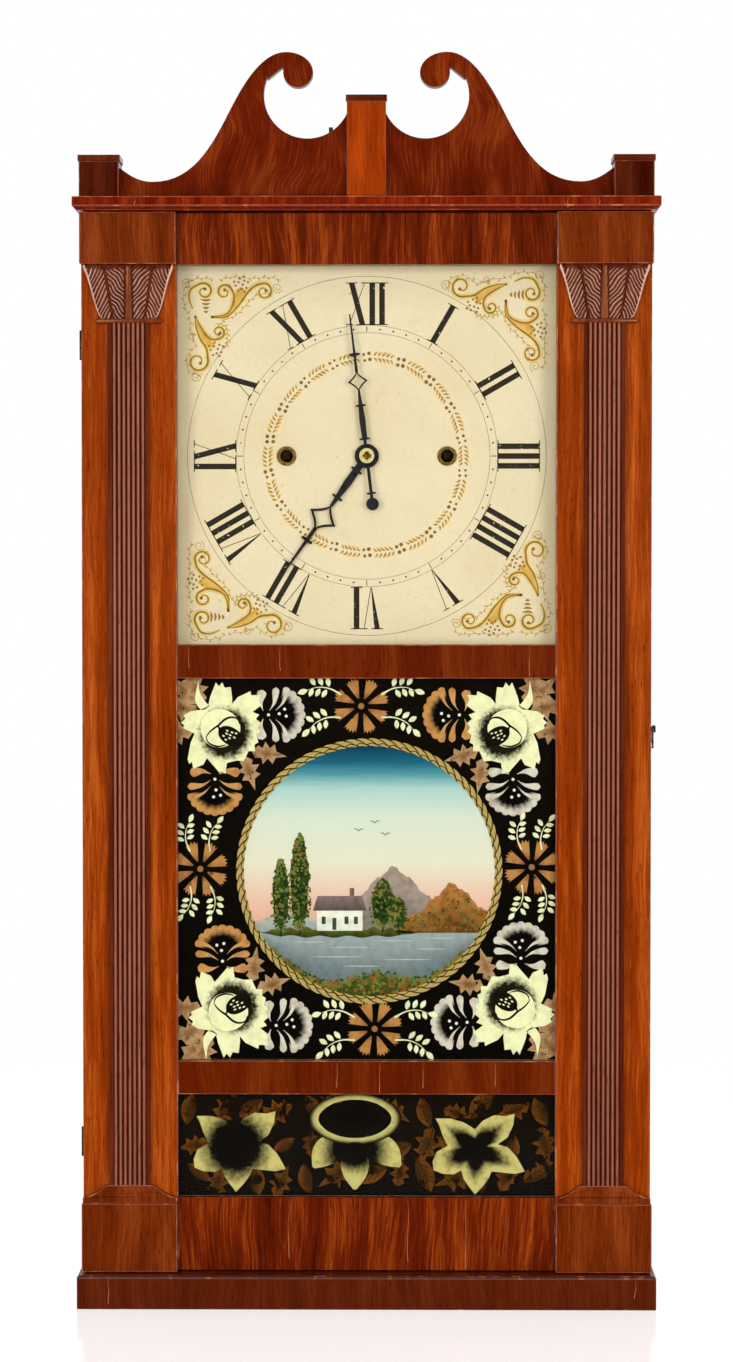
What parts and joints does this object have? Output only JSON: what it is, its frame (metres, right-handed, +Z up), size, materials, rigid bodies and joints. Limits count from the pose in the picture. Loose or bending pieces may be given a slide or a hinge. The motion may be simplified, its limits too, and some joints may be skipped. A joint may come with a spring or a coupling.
{
  "type": "shelf clock",
  "caption": "Tall weight-driven shelf clock: mahogany case with scroll crest, reeded pilasters, a glazed door over a painted dial and tablets, and a wooden geared movement.",
  "frame": {"origin": "on the surface that the clock stands on, under the middle of its base", "axes": "+Z up, +X to the viewer's right, -Y towards the viewer who reads the dial"},
  "size_m": [0.433, 0.134, 0.9294],
  "materials": {
    "mahogany_stile": "shellacked straight-grained mahogany, warm orange brown",
    "mahogany_flame": "shellacked flame mahogany veneer, red brown",
    "mahogany_dark": "carved and reeded mahogany, darkened by old varnish",
    "pine": "bare planed softwood, aged",
    "works_wood": "bare cherry and oak of the movement",
    "dial_paint": "cream paint on wood with black numerals and gilt ornament",
    "clear_glass": "old clear window glass",
    "painted_glass": "glass painted on its back, black ground",
    "brass": "aged brass",
    "black_steel": "blackened steel",
    "iron": "dark iron",
    "cord": "twisted linen cord"
  },
  "bodies": {
    "case": {"base_board": "mahogany_flame", "left_side": "mahogany_stile", "right_side": "mahogany_stile", "back_board": "pine", "cornice_board": "mahogany_flame", "crest_board": "mahogany_flame", "plinths": "mahogany_flame", "plinth_caps": "mahogany_dark", "crest_stay": "iron", "movement_rails": "pine", "movement_plates": "works_wood", "plate_pillars": "works_wood", "suspension_cock": "brass", "bell": "iron", "dial_board": "dial_paint", "winding_grommets": "brass", "pulley_brackets": "iron", "hinge_case_leaves": "brass", "catch_pin": "brass", "cord_runs": "cord", "time_cord": "cord", "strike_cord": "cord"},
    "door": {"door_left_stile": "mahogany_stile", "door_right_stile": "mahogany_stile", "door_top_rail": "mahogany_flame", "door_cross_rails": "mahogany_flame", "door_bottom_rail": "mahogany_flame", "corner_blocks": "mahogany_flame", "pilasters": "mahogany_dark", "capitals": "mahogany_dark", "pilaster_feet": "mahogany_dark", "dial_glass": "clear_glass", "tablet_glass": "painted_glass", "lower_glass": "painted_glass", "glazing_strips": "pine", "hinge_door_leaves": "brass", "hook_screw": "brass"},
    "hook": {"door_hook": "brass"},
    "minute": {"minute_arbor": "brass", "minute_hand": "black_steel"},
    "hour": {"hour_wheel": "works_wood", "hour_hand": "black_steel"},
    "motion": {"motion_wheel": "works_wood"},
    "time_drum": {"time_drum": "works_wood"},
    "time_great": {"time_great_wheel": "works_wood"},
    "second": {"second_wheel": "works_wood"},
    "third": {"third_wheel": "works_wood"},
    "escape": {"escape_wheel": "brass"},
    "verge": {"verge": "black_steel"},
    "pendulum": {"pendulum_rod": "black_steel", "pendulum_bob": "brass"},
    "strike_drum": {"strike_drum": "works_wood"},
    "strike_great": {"strike_great_wheel": "works_wood"},
    "strike_second": {"strike_second_wheel": "works_wood"},
    "fly": {"fly": "works_wood"},
    "hammer": {"hammer": "black_steel"},
    "time_weight": {"time_weight": "iron"},
    "strike_weight": {"strike_weight": "iron"},
    "time_pulley": {"time_pulley": "works_wood"},
    "strike_pulley": {"strike_pulley": "works_wood"}
  },
  "joints": [
    {"name": "door_swing", "type": "hinge", "parent": "case", "child": "door", "pos_m": [-0.2127, -0.0295, 0.42], "axis": [0, 0, -1], "range_deg": [0, 110]},
    {"name": "hook_swing", "type": "hinge", "parent": "door", "child": "hook", "pos_m": [0.2129, -0.036, 0.429], "axis": [1, 0, 0], "range_deg": [0, 90]},
    {"name": "minute_turn", "type": "hinge", "parent": "case", "child": "minute", "pos_m": [0, -0.005, 0.6326], "axis": [0, 1, 0], "continuous": true},
    {"name": "hour_turn", "type": "hinge", "parent": "case", "child": "hour", "pos_m": [0, -0.005, 0.6326], "axis": [0, 1, 0], "continuous": true},
    {"name": "motion_turn", "type": "hinge", "parent": "case", "child": "motion", "pos_m": [0.03, -0.005, 0.6626], "axis": [0, 1, 0], "continuous": true},
    {"name": "escape_turn", "type": "hinge", "parent": "case", "child": "escape", "pos_m": [-0.011, 0.027, 0.6986], "axis": [0, 1, 0], "continuous": true},
    {"name": "third_turn", "type": "hinge", "parent": "case", "child": "third", "pos_m": [0.022, 0.027, 0.7026], "axis": [0, 1, 0], "continuous": true},
    {"name": "second_turn", "type": "hinge", "parent": "case", "child": "second", "pos_m": [0.03, 0.027, 0.6626], "axis": [0, 1, 0], "continuous": true},
    {"name": "time_great_turn", "type": "hinge", "parent": "case", "child": "time_great", "pos_m": [0.06, 0.0135, 0.6326], "axis": [0, 1, 0], "continuous": true},
    {"name": "pendulum_swing", "type": "hinge", "parent": "case", "child": "pendulum", "pos_m": [-0.011, -0.0036, 0.7406], "axis": [0, 1, 0], "range_deg": [-2.5, 2.5]},
    {"name": "verge_rock", "type": "hinge", "parent": "case", "child": "verge", "pos_m": [-0.011, 0.001, 0.7246], "axis": [0, 1, 0], "range_deg": [-3.8, 3.8]},
    {"name": "fly_turn", "type": "hinge", "parent": "case", "child": "fly", "pos_m": [-0.027, 0.027, 0.7026], "axis": [0, 1, 0], "continuous": true},
    {"name": "strike_second_turn", "type": "hinge", "parent": "case", "child": "strike_second", "pos_m": [-0.03, 0.027, 0.6626], "axis": [0, 1, 0], "continuous": true},
    {"name": "strike_great_turn", "type": "hinge", "parent": "case", "child": "strike_great", "pos_m": [-0.06, 0.0135, 0.6326], "axis": [0, 1, 0], "continuous": true},
    {"name": "hammer_swing", "type": "hinge", "parent": "case", "child": "hammer", "pos_m": [-0.023, 0.027, 0.5746], "axis": [0, 1, 0], "range_deg": [-1.9, 14]},
    {"name": "time_weight_rise", "type": "slide", "parent": "case", "child": "time_weight", "axis": [0, 0, 1], "range_m": [0, 0.43], "deforming": ["time_cord"]},
    {"name": "time_drum_turn", "type": "hinge", "parent": "case", "child": "time_drum", "pos_m": [0.06, 0.02675, 0.6326], "axis": [0, 1, 0], "range_deg": [-1622.9, 1]},
    {"name": "time_pulley_turn", "type": "hinge", "parent": "case", "child": "time_pulley", "pos_m": [0.156, 0.02675, 0.7808], "axis": [0, 1, 0], "range_deg": [-2935, 1]},
    {"name": "strike_weight_rise", "type": "slide", "parent": "case", "child": "strike_weight", "axis": [0, 0, 1], "range_m": [0, 0.43], "deforming": ["strike_cord"]},
    {"name": "strike_drum_turn", "type": "hinge", "parent": "case", "child": "strike_drum", "pos_m": [-0.06, 0.02675, 0.6326], "axis": [0, 1, 0], "range_deg": [-1, 1622.9]},
    {"name": "strike_pulley_turn", "type": "hinge", "parent": "case", "child": "strike_pulley", "pos_m": [-0.156, 0.02675, 0.7808], "axis": [0, 1, 0], "range_deg": [-1, 2935]}
  ],
  "couplings": [
    {"joint": "hour_turn", "follows": "minute_turn", "ratio": 0.083333},
    {"joint": "motion_turn", "follows": "minute_turn", "ratio": -1},
    {"joint": "third_turn", "follows": "escape_turn", "ratio": -0.13333},
    {"joint": "second_turn", "follows": "escape_turn", "ratio": 0.016667},
    {"joint": "time_great_turn", "follows": "escape_turn", "ratio": -0.0027778},
    {"joint": "verge_rock", "follows": "pendulum_swing", "ratio": 1.5},
    {"joint": "strike_second_turn", "follows": "fly_turn", "ratio": -0.125},
    {"joint": "strike_great_turn", "follows": "fly_turn", "ratio": 0.020833},
    {"joint": "time_drum_turn", "follows": "time_weight_rise", "rad_per_m": -65.789},
    {"joint": "time_pulley_turn", "follows": "time_weight_rise", "rad_per_m": -119.05},
    {"joint": "strike_drum_turn", "follows": "strike_weight_rise", "rad_per_m": 65.789},
    {"joint": "strike_pulley_turn", "follows": "strike_weight_rise", "rad_per_m": 119.05}
  ]
}
